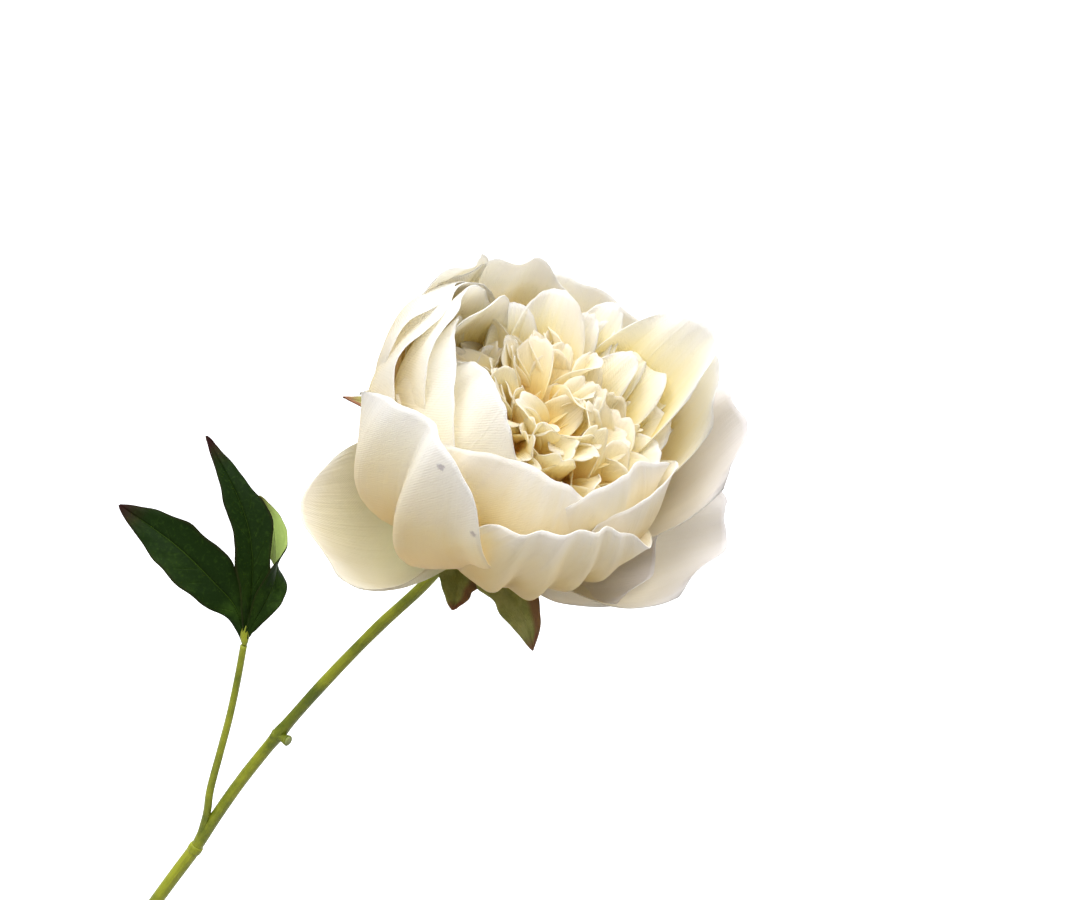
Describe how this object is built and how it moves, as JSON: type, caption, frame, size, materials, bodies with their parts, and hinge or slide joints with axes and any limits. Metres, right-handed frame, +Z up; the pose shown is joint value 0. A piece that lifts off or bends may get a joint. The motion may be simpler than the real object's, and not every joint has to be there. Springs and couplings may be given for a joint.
{
  "type": "peony in a bud vase",
  "caption": "Full double peony with a leaf on one leaning cut stem, standing in a plain narrow-necked bud vase filled with water.",
  "frame": {"origin": "middle of the vase's flat base", "axes": "+Z up; the stem leans out and the bloom stands out towards +X; the bloom's face looks up and towards -Y"},
  "size_m": [0.2743, 0.1512, 0.3891],
  "materials": {
    "glaze": "gloss",
    "water": "polished",
    "stem": "satin",
    "leaf": "satin",
    "sepal": "matte",
    "ivory_petal": "matte",
    "cream_petal": "matte"
  },
  "bodies": {
    "root": {"vase": "glaze", "water": "water", "stem": "stem", "leaf": "leaf", "calyx": "sepal", "guard_petals": "ivory_petal", "centre_petals": "cream_petal"}
  },
  "joints": []
}
